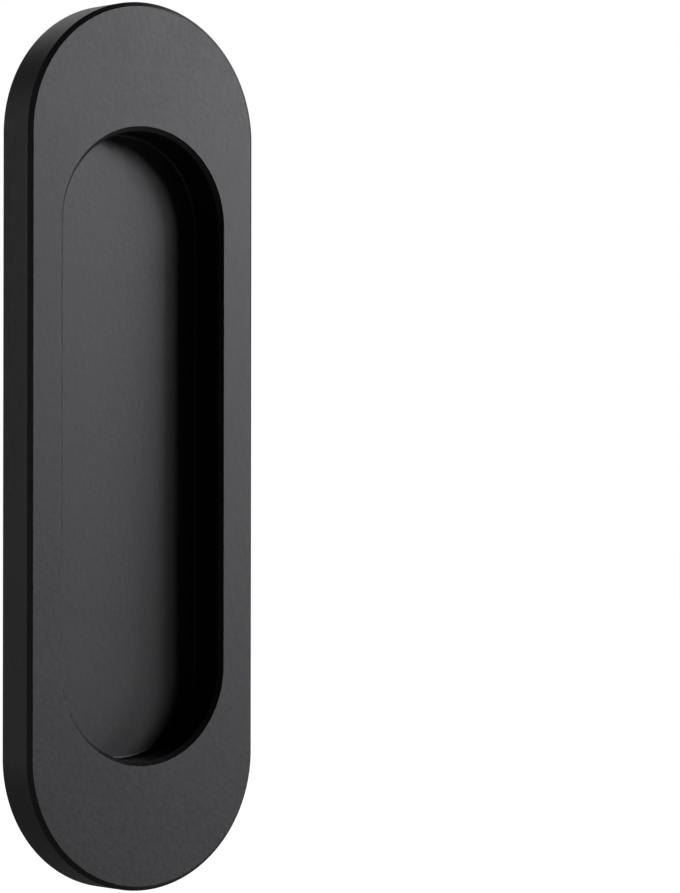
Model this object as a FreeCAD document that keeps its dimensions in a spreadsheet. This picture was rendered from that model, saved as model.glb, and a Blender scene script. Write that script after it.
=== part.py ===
import FreeCAD, Part
import enum
import math
import os
import Sketcher

# Flush pull for a sliding door: one metal body with an obround outline and an obround finger recess.
# The back lies in the XZ plane, the front faces -Y and the length stands along Z. All lengths are in mm.

# Each driving dimension has one row of the sheet: its alias, its value and what it sets.
SIZES = (
    ("body_length", "150", "overall length of the body"),
    ("body_width", "45.5", "overall width of the body"),
    ("body_depth", "8.5", "depth of the body, from its back to its front face"),
    ("front_chamfer", "0.75", "chamfer round the outer edge of the front face"),
    ("back_chamfer", "0.3", "chamfer round the outer edge of the back"),
    ("side_wall", "7", "width of the metal on each side of the recess"),
    ("end_wall", "21.75", "length of the metal between the recess and each end"),
    ("floor_thickness", "1", "thickness of the metal behind the recess"),
    ("rim_chamfer", "0.75", "chamfer round the mouth of the recess"),
    ("floor_fillet", "0.5", "fillet between the recess wall and its floor"),
    ("screw_inset", "11", "distance from each end to the axis of its screw hole"),
    ("tap_drill", "3.3", "diameter of the screw holes, drilled for an M4 thread"),
    ("tap_mouth", "4.3", "diameter of the lead-in countersink of the screw holes"),
    ("tap_skin", "1.7", "thickness of the metal between a hole's point and the front face"),
    ("mouth_angle", "90", "full angle of the lead-in countersink, in degrees"),
    ("drill_point_angle", "118", "full angle of the point of the screw holes, in degrees"),
)

# The node's name is also its file's name.
NODE = "pull_body"
SHEET = "Sizes"

OUT_OF_SKETCH = FreeCAD.Vector(0, 0, 1)
SAME_PLACE = 1e-6


class Point(enum.IntEnum):
    """How a sketch numbers the points of a piece."""
    START = 1
    END = 2
    CENTRE = 3


class Guide(enum.IntEnum):
    """How a sketch numbers its own origin and its upright axis."""
    ORIGIN = -1
    UPRIGHT_AXIS = -2


def size(alias):
    """The sheet's cell of that alias, as an expression names it."""
    return f"{SHEET}.{alias}"


def add_sheet(doc):
    """The sheet of driving dimensions."""
    sheet = doc.addObject("Spreadsheet::Sheet", SHEET)
    for row, (alias, value, meaning) in enumerate(SIZES, start=1):
        sheet.set(f"A{row}", alias)
        sheet.set(f"B{row}", value)
        sheet.setAlias(f"B{row}", alias)
        sheet.set(f"C{row}", meaning)
    doc.recompute()
    return sheet


def add_sketch(body, name, forward):
    """A sketch on the body's XZ plane, moved towards the front by the forward expression."""
    plane = next(feature for feature in body.Origin.OriginFeatures if feature.Role == "XZ_Plane")
    sketch = body.newObject("Sketcher::SketchObject", name)
    sketch.AttachmentSupport = [(plane, "")]
    sketch.MapMode = "FlatFace"
    sketch.setExpression("AttachmentOffset.Base.z", forward)
    return sketch


def bind(sketch, name, constraint, expression):
    """Adds a named dimension to the sketch and ties it to the expression."""
    sketch.renameConstraint(sketch.addConstraint(constraint), name)
    sketch.setExpression(f"Constraints.{name}", expression)


def place_round_pair(sketch, upper, lower, diameter, spacing):
    """Sets two round pieces on the upright axis, even about the origin, by the two expressions."""
    upper_centre, lower_centre = (upper, Point.CENTRE), (lower, Point.CENTRE)
    middle = (Guide.ORIGIN, Point.START)
    sketch.addConstraint(Sketcher.Constraint("PointOnObject", *upper_centre, Guide.UPRIGHT_AXIS))
    sketch.addConstraint(Sketcher.Constraint("Symmetric", *upper_centre, *lower_centre, *middle))
    sketch.addConstraint(Sketcher.Constraint("Equal", upper, lower))
    drawn_radius = sketch.Geometry[upper].Radius
    drawn_spacing = 2 * sketch.Geometry[upper].Center.y
    bind(sketch, "end_radius", Sketcher.Constraint("Radius", upper, drawn_radius), f"({diameter}) / 2")
    apart = Sketcher.Constraint("DistanceY", *lower_centre, *upper_centre, drawn_spacing)
    bind(sketch, "centre_distance", apart, spacing)


def round_pair(sketch, diameter, spacing):
    """Two circles with their centres above and below the origin, at the sizes of the two expressions."""
    radius = sketch.evalExpression(diameter) / 2
    reach = sketch.evalExpression(spacing) / 2
    return [Part.Circle(FreeCAD.Vector(0, y, 0), OUT_OF_SKETCH, radius) for y in (reach, -reach)]


def draw_obround(sketch, width, length):
    """A closed upright obround about the origin, with the width and length that the expressions give."""
    spacing = f"({length}) - ({width})"
    above, below = round_pair(sketch, width, spacing)
    top_arc = Part.ArcOfCircle(above, 0, math.pi)
    bottom_arc = Part.ArcOfCircle(below, math.pi, 2 * math.pi)
    pieces = (
        top_arc,
        Part.LineSegment(top_arc.EndPoint, bottom_arc.StartPoint),
        bottom_arc,
        Part.LineSegment(bottom_arc.EndPoint, top_arc.StartPoint),
    )
    run = [sketch.addGeometry(piece) for piece in pieces]
    for piece, following in zip(run, run[1:] + run[:1]):
        sketch.addConstraint(Sketcher.Constraint("Tangent", piece, Point.END, following, Point.START))
    top, bottom = run[0], run[2]
    place_round_pair(sketch, top, bottom, width, spacing)


def loop_edges(shape, y, half_width):
    """Names of the edges of the obround loop that lies at that y and reaches that far to each side."""
    names = []
    for number, edge in enumerate(shape.Edges, start=1):
        box = edge.BoundBox
        off_plane = max(abs(box.YMin - y), abs(box.YMax - y))
        reach = max(abs(box.XMin), abs(box.XMax))
        if off_plane < SAME_PLACE and abs(reach - half_width) < SAME_PLACE:
            names.append(f"Edge{number}")
    return names


def dress_loop(body, kind, name, dimension, alias, y, half_width):
    """A chamfer or fillet on one obround loop of the body as it is so far."""
    base = body.Tip
    feature = body.newObject(kind, name)
    feature.Base = (base, loop_edges(base.Shape, y, half_width))
    feature.setExpression(dimension, size(alias))
    body.Document.recompute()


def add_block(body):
    """The solid obround block."""
    outline = add_sketch(body, "Outline", "0")
    draw_obround(outline, size("body_width"), size("body_length"))
    block = body.newObject("PartDesign::Pad", "Block")
    block.Profile = outline
    block.setExpression("Length", size("body_depth"))
    body.Document.recompute()


def add_recess(body):
    """The finger recess, sunk from the front face."""
    outline = add_sketch(body, "RecessOutline", size("body_depth"))
    width = f"{size('body_width')} - 2 * {size('side_wall')}"
    length = f"{size('body_length')} - 2 * {size('end_wall')}"
    draw_obround(outline, width, length)
    recess = body.newObject("PartDesign::Pocket", "Recess")
    recess.Profile = outline
    recess.setExpression("Length", f"{size('body_depth')} - {size('floor_thickness')}")
    body.Document.recompute()


def dress_edges(body, sheet):
    """The floor's fillet and the chamfers of the recess rim, the front edge and the back edge."""
    chamfer, fillet = "PartDesign::Chamfer", "PartDesign::Fillet"
    front, floor, back = -sheet.body_depth, -sheet.floor_thickness, 0
    outside = sheet.body_width / 2
    inside = outside - sheet.side_wall
    dress_loop(body, fillet, "FloorFillet", "Radius", "floor_fillet", floor, inside)
    dress_loop(body, chamfer, "RimChamfer", "Size", "rim_chamfer", front, inside)
    dress_loop(body, chamfer, "FrontChamfer", "Size", "front_chamfer", front, outside)
    dress_loop(body, chamfer, "BackChamfer", "Size", "back_chamfer", back, outside)


def add_screw_holes(body):
    """Two blind holes in the back, one in each solid end, drilled for a thread."""
    axes = add_sketch(body, "ScrewAxes", "0")
    drill = size("tap_drill")
    spacing = f"{size('body_length')} - 2 * {size('screw_inset')}"
    upper, lower = (axes.addGeometry(circle) for circle in round_pair(axes, drill, spacing))
    place_round_pair(axes, upper, lower, drill, spacing)
    body.Document.recompute()

    holes = body.newObject("PartDesign::Hole", "ScrewHoles")
    holes.Profile = axes
    holes.Reversed = True
    holes.DepthType = "Dimension"
    holes.DrillPoint = "Angled"
    holes.HoleCutType = "Countersink"
    holes.HoleCutCustomValues = True
    point_length = f"{drill} / 2 / tan({size('drill_point_angle')} / 2)"
    for dimension, expression in (
        ("Diameter", drill),
        ("Depth", f"{size('body_depth')} - {size('tap_skin')} - {point_length}"),
        ("DrillPointAngle", size("drill_point_angle")),
        ("HoleCutDiameter", size("tap_mouth")),
        ("HoleCutCountersinkAngle", size("mouth_angle")),
    ):
        holes.setExpression(dimension, expression)
    body.Document.recompute()


def check(doc, body):
    """Stops the script where a feature failed or changed nothing, or the body isn't one valid solid."""
    for thing in doc.Objects:
        if {"Invalid", "Error"} & set(thing.State):
            raise RuntimeError(f"{thing.Name} did not build: {thing.State}")
    features = [thing for thing in body.Group if thing.isDerivedFrom("PartDesign::Feature")]
    for earlier, later in zip(features, features[1:]):
        if math.isclose(earlier.Shape.Volume, later.Shape.Volume, rel_tol=SAME_PLACE):
            raise RuntimeError(f"{later.Name} changes nothing")
    if body.Shape.isNull() or not body.Shape.isValid() or len(body.Shape.Solids) != 1:
        raise RuntimeError(f"{body.Label} is not one valid solid")


def build():
    """The pull's document and its one body."""
    doc = FreeCAD.newDocument("DoorPull")
    sheet = add_sheet(doc)
    body = doc.addObject("PartDesign::Body", NODE)
    body.Label = NODE
    body.Placement = FreeCAD.Placement()
    add_block(body)
    add_recess(body)
    dress_edges(body, sheet)
    add_screw_holes(body)
    check(doc, body)
    return body


pull = build()
os.makedirs("parts", exist_ok=True)
pull.Shape.exportStep(f"parts/{pull.Label}.step")
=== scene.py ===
import math

import bmesh
import bpy
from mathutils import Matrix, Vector


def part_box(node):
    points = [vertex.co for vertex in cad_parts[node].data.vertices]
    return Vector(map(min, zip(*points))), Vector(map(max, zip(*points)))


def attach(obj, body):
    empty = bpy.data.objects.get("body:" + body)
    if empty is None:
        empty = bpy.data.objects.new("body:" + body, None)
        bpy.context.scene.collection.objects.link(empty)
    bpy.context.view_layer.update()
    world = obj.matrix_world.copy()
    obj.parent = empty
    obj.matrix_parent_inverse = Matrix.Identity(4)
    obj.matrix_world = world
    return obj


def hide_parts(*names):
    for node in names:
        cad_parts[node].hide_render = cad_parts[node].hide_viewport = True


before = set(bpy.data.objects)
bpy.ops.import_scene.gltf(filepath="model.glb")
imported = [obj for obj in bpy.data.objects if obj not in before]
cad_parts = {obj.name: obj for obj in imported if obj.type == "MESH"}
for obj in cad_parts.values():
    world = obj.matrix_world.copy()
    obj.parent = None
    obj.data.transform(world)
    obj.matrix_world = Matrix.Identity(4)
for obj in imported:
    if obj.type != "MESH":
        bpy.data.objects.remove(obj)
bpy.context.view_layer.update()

# Lengths are in metres. The front faces -Y, the back lies at y = 0, and the length stands along Z.
NODE = "pull_body"

# Sizes of the body's features that its box doesn't give. Its sharp edges are broken by the edge round.
FRONT_CHAMFER = 0.75e-3
BACK_CHAMFER = 0.3e-3
SIDE_WALL = 7e-3
END_WALL = 21.75e-3
FLOOR_THICKNESS = 1e-3
RIM_CHAMFER = 0.75e-3
FLOOR_FILLET = 0.5e-3
EDGE_ROUND = 0.03e-3

# The two tapped holes in the back.
SCREW_INSET = 11e-3
TAP_MOUTH_RADIUS = 2.15e-3
TAP_RADIUS = 1.65e-3
THREAD_RADIUS = 2e-3
THREAD_PITCH = 0.7e-3
TAP_POINT = 6.8e-3
DRILL_ANGLE = math.radians(118)
TAP_DEPTH = TAP_POINT - TAP_RADIUS / math.tan(DRILL_ANGLE / 2)

# Flats of the thread's crest and root, and the length over which it runs out, as shares of its pitch.
CREST_FLAT = 1 / 4
ROOT_FLAT = 1 / 8
RUN_OUT = 2

# How finely the body is divided.
ARC_STEPS = 96
SIDE_STEPS = 32
ROUND_STEPS = 4
FILLET_STEPS = 10
HOLE_STEPS = 48
ROWS_PER_PITCH = 12

WHITE = (1, 1, 1, 1)

# A noise keeps to the middle of its range from 0 to 1, so materials use it between these two values.
NOISE_LOW = 0.3
NOISE_HIGH = 0.7

# The coat: its tones, its sheen, and the grain and the wider clouds that vary its roughness.
COAT_DARK = (0.0055, 0.0055, 0.0067, 1)
COAT_LIGHT = (0.0075, 0.0075, 0.009, 1)
SHEEN_LEVEL = 0.39
SHEEN_TINT = (0.955, 0.955, 1, 1)
COAT_ROUGHNESS = 0.446
GRAIN_SIZE = 0.8e-3
GRAIN_HEIGHT = 15e-6
GRAIN_DETAIL = 2
GRAIN_ROUGHNESS = 0.03
CLOUD_SIZE = 12e-3
CLOUD_DETAIL = 3
CLOUD_ROUGHNESS = 0.012

# The camera, which shows the pull where the photograph has it. Its frame is 680 by 893 pixels.
FRAME_HEIGHT = 893
FOCAL_PIXELS = 4124.5
SENSOR_MM = 36
CAMERA_DISTANCE = 0.7
CAMERA_AZIMUTH = math.radians(-33.71)
CAMERA_ELEVATION = math.radians(-0.4)
CAMERA_YAW = math.radians(36.629)
CAMERA_PITCH = math.radians(0.4)
CAMERA_ROLL = math.radians(0.06)

# The floor lies below the pull. To the camera it is pale near the pull, and white further away.
FLOOR_SIZE = 8
FLOOR_DROP = 0.06
FLOOR_PALE = 0.75
FLOOR_PALE_REACH = 0.3
FLOOR_WHITE_REACH = 0.6

# The floor's paper, and the tooth of its surface.
PAPER_DARK = (0.28, 0.28, 0.28, 1)
PAPER_LIGHT = (0.32, 0.32, 0.32, 1)
PAPER_SMOOTHEST = 0.85
PAPER_ROUGHEST = 0.95
TOOTH_SIZE = 0.8e-3
TOOTH_HEIGHT = 20e-6
TOOTH_DETAIL = 3

# The white backdrop. Azimuth 0 is straight out of the front, and it grows to the right of the pull.
BACKDROP_AZIMUTH = math.radians(152)
BACKDROP_ELEVATION = math.radians(38)
BACKDROP_EDGE = math.radians(30)
BACKDROP_FULL = math.radians(10)

# Softboxes: name, azimuth and elevation in degrees, distance, width and height, and power in watts.
# The key, its dimmer edge and its wing stand side by side, and together light the front softly.
SOFTBOXES = (
    ("key_edge", 36, 14.5, 1.11, 0.31, 0.18, 2),
    ("key", 49.7, 14.5, 1.11, 0.27, 0.18, 6.3),
    ("wing", 65, -2.5, 1.11, 0.3, 0.17, 6.4),
    ("rim", 112, 30, 2.5, 1.0, 1.2, 4),
    ("side_fill", -110, 3, 2.5, 1.4, 2.4, 58),
)


class Station:
    """One place on an obround outline: its outward direction, and its share of the straight length."""

    def __init__(self, angle, along):
        self.across = math.cos(angle)
        self.up = math.sin(angle)
        self.along = along

    def point(self, radius, straight, y):
        """The place in space on the obround of that end radius and half straight length."""
        return Vector((radius * self.across, y, straight * self.along + radius * self.up))

    def direction(self, outward, towards_back):
        """The direction in space that leans outward and towards the back by those shares."""
        return Vector((outward * self.across, towards_back, outward * self.up))


def outline_stations():
    """Stations once round an obround, from the right end of the upper arc."""
    arc = [math.pi * step / ARC_STEPS for step in range(ARC_STEPS + 1)]
    run = [1 - 2 * step / SIDE_STEPS for step in range(1, SIDE_STEPS)]
    upper = [Station(angle, 1) for angle in arc]
    left = [Station(math.pi, along) for along in run]
    lower = [Station(math.pi + angle, -1) for angle in arc]
    right = [Station(0, -along) for along in run]
    return upper + left + lower + right


def round_corner(before, corner, after, radius, steps):
    """Points and normals of the arc at a corner of the section, walked with the outside on the left."""
    to_corner = (corner - before).normalized()
    from_corner = (after - corner).normalized()
    turn = math.atan2(to_corner.cross(from_corner), to_corner.dot(from_corner))
    start = corner - to_corner * (radius * math.tan(abs(turn) / 2))
    heading = math.atan2(to_corner.y, to_corner.x)
    bend = math.copysign(1, turn)
    first_normal = Vector((-to_corner.y, to_corner.x))
    centre = start + first_normal * (bend * radius)
    for step in range(steps + 1):
        angle = heading + turn * step / steps
        normal = Vector((-math.sin(angle), math.cos(angle)))
        yield centre - normal * (bend * radius), normal


class Body:
    """Sizes of the pull, from the CAD node's box and the feature sizes above."""

    def __init__(self):
        low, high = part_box(NODE)
        self.half_width = high.x
        self.half_length = high.z
        self.straight = self.half_length - self.half_width
        self.back = high.y
        self.front = low.y
        self.recess_half_width = self.half_width - SIDE_WALL
        self.recess_straight = self.half_length - END_WALL - self.recess_half_width
        self.floor = self.back - FLOOR_THICKNESS
        self.screw_z = self.half_length - SCREW_INSET

    def section(self):
        """Rows of the section from the back into the recess: whether outside, radius, y and normal."""
        outside, inside = self.half_width, self.recess_half_width
        back_middle = Vector((0, self.back))
        floor_middle = Vector((0, self.floor))
        corners = [
            Vector((outside - BACK_CHAMFER, self.back)),
            Vector((outside, self.back - BACK_CHAMFER)),
            Vector((outside, self.front + FRONT_CHAMFER)),
            Vector((outside - FRONT_CHAMFER, self.front)),
            Vector((inside + RIM_CHAMFER, self.front)),
            Vector((inside, self.front + RIM_CHAMFER)),
            Vector((inside, self.floor)),
        ]
        path = [back_middle, *corners, floor_middle]
        outer_corners = 4
        for number, corner in enumerate(corners):
            last = number == len(corners) - 1
            radius, steps = (FLOOR_FILLET, FILLET_STEPS) if last else (EDGE_ROUND, ROUND_STEPS)
            for point, normal in round_corner(path[number], corner, path[number + 2], radius, steps):
                yield number < outer_corners, point.x, point.y, normal


def add_loops(mesh, normals, body, stations):
    """The section's rings, joined by quads. Returns the back's ring and the recess floor's ring."""
    rings = []
    for outer, radius, y, normal in body.section():
        straight = body.straight if outer else body.recess_straight
        ring = [mesh.verts.new(station.point(radius, straight, y)) for station in stations]
        normals.update({vert: station.direction(*normal) for vert, station in zip(ring, stations)})
        rings.append(ring)
    count = len(stations)
    for ring, following in zip(rings, rings[1:]):
        for number in range(count):
            after = (number + 1) % count
            mesh.faces.new((ring[number], ring[after], following[after], following[number]))
    return rings[0], rings[-1]


def fill_floor(mesh, ring):
    """Rungs of quads from side to side of the recess floor, with one triangle at each end."""
    top = ARC_STEPS // 2
    count = len(ring)
    rungs = [(ring[(top - step) % count], ring[(top + step) % count]) for step in range(1, count // 2)]
    mesh.faces.new((ring[top], *rungs[0]))
    for (right, left), (next_right, next_left) in zip(rungs, rungs[1:]):
        mesh.faces.new((right, next_right, next_left, left))
    mesh.faces.new((rungs[-1][1], rungs[-1][0], ring[(top + count // 2) % count]))


def share(value):
    """The value, kept from 0 to 1."""
    return min(1, max(0, value))


def thread_depth(turn, depth):
    """How far the thread's groove is cut at that share of a turn and depth into the hole."""
    phase = (depth / THREAD_PITCH + turn) % 1
    rise = 1 - abs(2 * phase - 1)
    groove = share((rise - CREST_FLAT) / (1 - CREST_FLAT - ROOT_FLAT))
    full = share((TAP_DEPTH - depth) / (RUN_OUT * THREAD_PITCH))
    return groove * full * (THREAD_RADIUS - TAP_RADIUS)


def add_hole(mesh, body, z):
    """A blind tapped hole in the back at that height. Returns the ring of its mouth, on the back."""
    rows = round(TAP_DEPTH / THREAD_PITCH * ROWS_PER_PITCH)
    rings = []
    for row in range(rows + 1):
        depth = TAP_DEPTH * row / rows
        ring = []
        for step in range(HOLE_STEPS):
            turn = step / HOLE_STEPS
            radius = max(TAP_MOUTH_RADIUS - depth, TAP_RADIUS + thread_depth(turn, depth))
            angle = 2 * math.pi * turn
            across, up = radius * math.cos(angle), radius * math.sin(angle)
            ring.append(mesh.verts.new((across, body.back - depth, z + up)))
        rings.append(ring)
    for ring, following in zip(rings, rings[1:]):
        for step in range(HOLE_STEPS):
            after = (step + 1) % HOLE_STEPS
            mesh.faces.new((ring[step], following[step], following[after], ring[after]))
    point = mesh.verts.new((0, body.back - TAP_POINT, z))
    for step in range(HOLE_STEPS):
        mesh.faces.new((rings[-1][step], point, rings[-1][(step + 1) % HOLE_STEPS]))
    return rings[0]


def ring_edges(mesh, ring):
    """The edges once round a ring."""
    pairs = zip(ring, ring[1:] + ring[:1])
    return [mesh.edges.get(pair) or mesh.edges.new(pair) for pair in pairs]


def make_pull():
    """The whole pull as one closed mesh, with the true normals of its faces and rounded edges."""
    body = Body()
    mesh = bmesh.new()
    normals = {}
    back_ring, floor_ring = add_loops(mesh, normals, body, outline_stations())
    fill_floor(mesh, floor_ring)
    mouths = [add_hole(mesh, body, z) for z in (body.screw_z, -body.screw_z)]
    edges = [edge for ring in [back_ring] + mouths for edge in ring_edges(mesh, ring)]
    bmesh.ops.triangle_fill(mesh, use_beauty=True, edges=edges)
    for ring in mouths:
        normals.update({vert: Vector((0, 1, 0)) for vert in ring})
    bmesh.ops.recalc_face_normals(mesh, faces=mesh.faces)
    mesh.normal_update()
    mesh.verts.index_update()
    vertex_normals = [tuple(normals.get(vert, vert.normal)) for vert in mesh.verts]
    for face in mesh.faces:
        face.smooth = True

    data = bpy.data.meshes.new("door_pull")
    mesh.to_mesh(data)
    mesh.free()
    data.normals_split_custom_set_from_vertices(vertex_normals)
    pull = bpy.data.objects.new("door_pull", data)
    bpy.context.scene.collection.objects.link(pull)
    return pull


def new_material(name):
    """An empty node material. Returns it with its nodes and links."""
    material = bpy.data.materials.new(name)
    material.use_nodes = True
    material.node_tree.nodes.clear()
    return material, material.node_tree.nodes, material.node_tree.links


def grain(nodes, links, size, detail):
    """A noise whose grains are about that long. Returns its value, from 0 to 1."""
    place = nodes.new("ShaderNodeTexCoord")
    noise = nodes.new("ShaderNodeTexNoise")
    noise.inputs["Scale"].default_value = 1 / size
    noise.inputs["Detail"].default_value = detail
    links.new(place.outputs["Object"], noise.inputs["Vector"])
    return noise.outputs["Fac"]


def spread(nodes, links, value, low, high):
    """Maps the middle of a noise to the range from low to high."""
    reach = nodes.new("ShaderNodeMapRange")
    reach.inputs["From Min"].default_value = NOISE_LOW
    reach.inputs["From Max"].default_value = NOISE_HIGH
    reach.inputs["To Min"].default_value = low
    reach.inputs["To Max"].default_value = high
    links.new(value, reach.inputs["Value"])
    return reach.outputs["Result"]


def tint(nodes, links, value, dark, light, shader):
    """Colours the shader from dark to light by the middle of a noise."""
    tone = nodes.new("ShaderNodeValToRGB")
    first, last = tone.color_ramp.elements
    first.position = NOISE_LOW
    first.color = dark
    last.position = NOISE_HIGH
    last.color = light
    links.new(value, tone.inputs["Fac"])
    links.new(tone.outputs["Color"], shader.inputs["Base Color"])


def combine(nodes, links, operation, first, second):
    """The sum, product or larger of two sockets, as the operation says."""
    result = nodes.new("ShaderNodeMath")
    result.operation = operation
    links.new(first, result.inputs[0])
    links.new(second, result.inputs[1])
    return result.outputs["Value"]


def raise_grain(nodes, links, value, height, shader):
    """Gives the shader a relief of that height from a noise."""
    bump = nodes.new("ShaderNodeBump")
    bump.inputs["Distance"].default_value = height
    links.new(value, bump.inputs["Height"])
    links.new(bump.outputs["Normal"], shader.inputs["Normal"])


def satin_black():
    """Satin black coat on metal: a fine blasted grain, and a faint unevenness in its sheen."""
    material, nodes, links = new_material("satin_black")
    output = nodes.new("ShaderNodeOutputMaterial")
    shader = nodes.new("ShaderNodeBsdfPrincipled")
    links.new(shader.outputs["BSDF"], output.inputs["Surface"])
    shader.inputs["Specular IOR Level"].default_value = SHEEN_LEVEL
    shader.inputs["Specular Tint"].default_value = SHEEN_TINT

    fine = grain(nodes, links, GRAIN_SIZE, GRAIN_DETAIL)
    cloud = grain(nodes, links, CLOUD_SIZE, CLOUD_DETAIL)
    tint(nodes, links, fine, COAT_DARK, COAT_LIGHT, shader)
    raise_grain(nodes, links, fine, GRAIN_HEIGHT, shader)

    speckle = spread(nodes, links, fine, -GRAIN_ROUGHNESS, GRAIN_ROUGHNESS)
    least, most = COAT_ROUGHNESS - CLOUD_ROUGHNESS, COAT_ROUGHNESS + CLOUD_ROUGHNESS
    drift = spread(nodes, links, cloud, least, most)
    links.new(combine(nodes, links, "ADD", speckle, drift), shader.inputs["Roughness"])
    return material


def direction(azimuth, elevation):
    """The unit vector from the pull at that azimuth and elevation."""
    return Vector((
        math.sin(azimuth) * math.cos(elevation),
        -math.cos(azimuth) * math.cos(elevation),
        math.sin(elevation),
    ))


def backdrop_share(nodes, links):
    """How far a ray points into the backdrop, from 0 outside its edge to 1 where it is full."""
    place = nodes.new("ShaderNodeTexCoord")
    towards = nodes.new("ShaderNodeVectorMath")
    towards.operation = "DOT_PRODUCT"
    towards.inputs[1].default_value = direction(BACKDROP_AZIMUTH, BACKDROP_ELEVATION)
    links.new(place.outputs["Generated"], towards.inputs[0])
    edge = nodes.new("ShaderNodeMapRange")
    edge.interpolation_type = "SMOOTHSTEP"
    edge.inputs["From Min"].default_value = math.cos(BACKDROP_EDGE)
    edge.inputs["From Max"].default_value = math.cos(BACKDROP_FULL)
    links.new(towards.outputs["Value"], edge.inputs["Value"])
    return edge.outputs["Result"]


def make_world():
    """White all round for rays straight from the camera, and a white backdrop for mirrored rays."""
    world = bpy.data.worlds.new("studio")
    bpy.context.scene.world = world
    world.use_nodes = True
    nodes, links = world.node_tree.nodes, world.node_tree.links
    nodes.clear()
    output = nodes.new("ShaderNodeOutputWorld")
    background = nodes.new("ShaderNodeBackground")
    links.new(background.outputs["Background"], output.inputs["Surface"])
    background.inputs["Color"].default_value = WHITE

    ray = nodes.new("ShaderNodeLightPath").outputs
    mirrored = combine(nodes, links, "MAXIMUM", ray["Is Glossy Ray"], ray["Is Transmission Ray"])
    backdrop = combine(nodes, links, "MULTIPLY", mirrored, backdrop_share(nodes, links))
    seen = combine(nodes, links, "MAXIMUM", ray["Is Camera Ray"], backdrop)
    links.new(seen, background.inputs["Strength"])


def floor_glow(nodes, links):
    """How strongly the floor glows for rays straight from the camera, and only for those."""
    place = nodes.new("ShaderNodeTexCoord")
    away = nodes.new("ShaderNodeVectorMath")
    away.operation = "LENGTH"
    links.new(place.outputs["Object"], away.inputs[0])
    white = nodes.new("ShaderNodeMapRange")
    white.interpolation_type = "SMOOTHSTEP"
    white.inputs["From Min"].default_value = FLOOR_PALE_REACH
    white.inputs["From Max"].default_value = FLOOR_WHITE_REACH
    white.inputs["To Min"].default_value = FLOOR_PALE
    links.new(away.outputs["Value"], white.inputs["Value"])
    ray = nodes.new("ShaderNodeLightPath").outputs
    return combine(nodes, links, "MULTIPLY", ray["Is Camera Ray"], white.outputs["Result"])


def pale_floor():
    """Paper with a faint tooth, which looks pale to the camera and keeps the pull's shadow."""
    material, nodes, links = new_material("pale_paper")
    output = nodes.new("ShaderNodeOutputMaterial")
    shader = nodes.new("ShaderNodeBsdfPrincipled")
    links.new(shader.outputs["BSDF"], output.inputs["Surface"])
    shader.inputs["Specular IOR Level"].default_value = 0
    shader.inputs["Emission Color"].default_value = WHITE
    links.new(floor_glow(nodes, links), shader.inputs["Emission Strength"])

    tooth = grain(nodes, links, TOOTH_SIZE, TOOTH_DETAIL)
    tint(nodes, links, tooth, PAPER_DARK, PAPER_LIGHT, shader)
    raise_grain(nodes, links, tooth, TOOTH_HEIGHT, shader)
    links.new(spread(nodes, links, tooth, PAPER_SMOOTHEST, PAPER_ROUGHEST), shader.inputs["Roughness"])
    return material


def add_floor(height):
    """A wide level floor at that height."""
    bpy.ops.mesh.primitive_plane_add(size=FLOOR_SIZE, location=(0, 0, height))
    floor = bpy.context.object
    floor.name = "floor"
    floor.data.materials.append(pale_floor())


def aim(thing, target):
    """Points an object's -Z at the target."""
    thing.rotation_euler = (target - thing.location).to_track_quat("-Z", "Y").to_euler()


def add_softbox(name, azimuth, elevation, distance, width, height, power):
    """A rectangular area light that faces the pull."""
    light = bpy.data.lights.new(name, "AREA")
    light.shape = "RECTANGLE"
    light.size = width
    light.size_y = height
    light.energy = power
    lamp = bpy.data.objects.new(name, light)
    lamp.location = direction(math.radians(azimuth), math.radians(elevation)) * distance
    aim(lamp, Vector())
    bpy.context.scene.collection.objects.link(lamp)


def add_camera(centre):
    """The camera at the photograph's viewing angle, with the pull left of the frame's middle."""
    data = bpy.data.cameras.new("camera")
    data.sensor_width = SENSOR_MM
    data.lens = FOCAL_PIXELS / FRAME_HEIGHT * SENSOR_MM
    camera = bpy.data.objects.new("camera", data)
    camera.location = centre + direction(CAMERA_AZIMUTH, CAMERA_ELEVATION) * CAMERA_DISTANCE
    level = math.radians(90)
    camera.rotation_euler = (level + CAMERA_PITCH, 0, -CAMERA_YAW)
    camera.rotation_euler.rotate_axis("Z", CAMERA_ROLL)
    bpy.context.scene.collection.objects.link(camera)
    bpy.context.scene.camera = camera


pull = make_pull()
pull.data.materials.append(satin_black())
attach(pull, "root")
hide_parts(NODE)

low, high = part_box(NODE)
add_camera((low + high) / 2)
make_world()
add_floor(low.z - FLOOR_DROP)
for softbox in SOFTBOXES:
    add_softbox(*softbox)
bpy.context.scene.view_settings.view_transform = "Standard"
